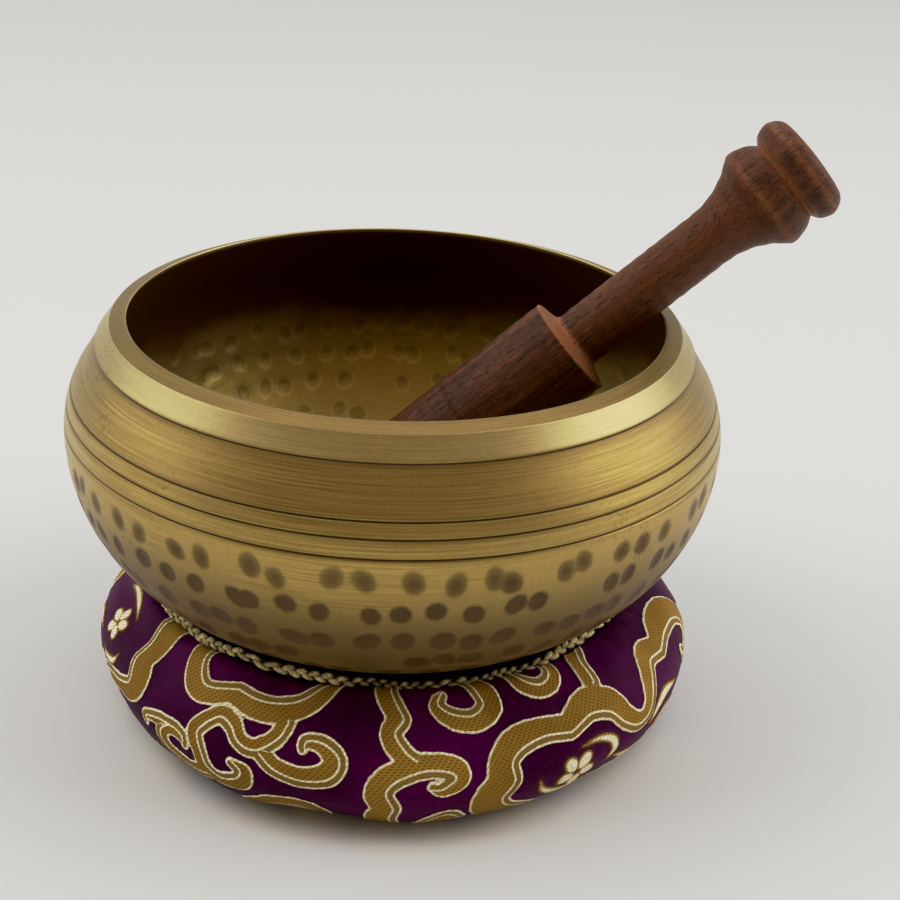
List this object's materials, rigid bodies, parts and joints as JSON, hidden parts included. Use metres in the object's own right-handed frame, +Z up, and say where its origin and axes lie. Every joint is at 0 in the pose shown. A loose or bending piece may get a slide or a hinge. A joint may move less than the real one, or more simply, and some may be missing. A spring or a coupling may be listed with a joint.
{
  "type": "singing bowl",
  "caption": "Hammered metal singing bowl with turned lines, resting on a round brocade ring cushion with a turned wooden mallet leaning in it.",
  "frame": {"origin": "centre of the cushion's underside, on the bowl's axis and on the surface that it stands on", "axes": "+Z up along the bowl's axis, out of its mouth; +X the side that the mallet leans to; +Y completes the right-handed frame"},
  "size_m": [0.185, 0.16, 0.1471],
  "materials": {
    "bronze": "antique, brushed round the outside, dark in the lines and hammer marks",
    "rosewood": "turned and waxed, with open pores",
    "brocade": "satin weave with raised gold cloud scrolls",
    "lining": "plain satin",
    "stuffing": "loose fibre",
    "gold_cord": "twisted metallic thread"
  },
  "bodies": {
    "cushion": {"cushion_cover": "brocade", "cushion_lining": "lining", "cushion_stuffing": "stuffing", "trim_cord": "gold_cord"},
    "bowl": {"bowl": "bronze"},
    "mallet": {"mallet": "rosewood"}
  },
  "joints": [
    {"name": "bowl_lift", "type": "slide", "parent": "cushion", "child": "bowl", "axis": [0, 0, 1], "range_m": [0, 0.12]},
    {"name": "mallet_lift", "type": "slide", "parent": "bowl", "child": "mallet", "axis": [0, 0, 1], "range_m": [0, 0.12]}
  ]
}
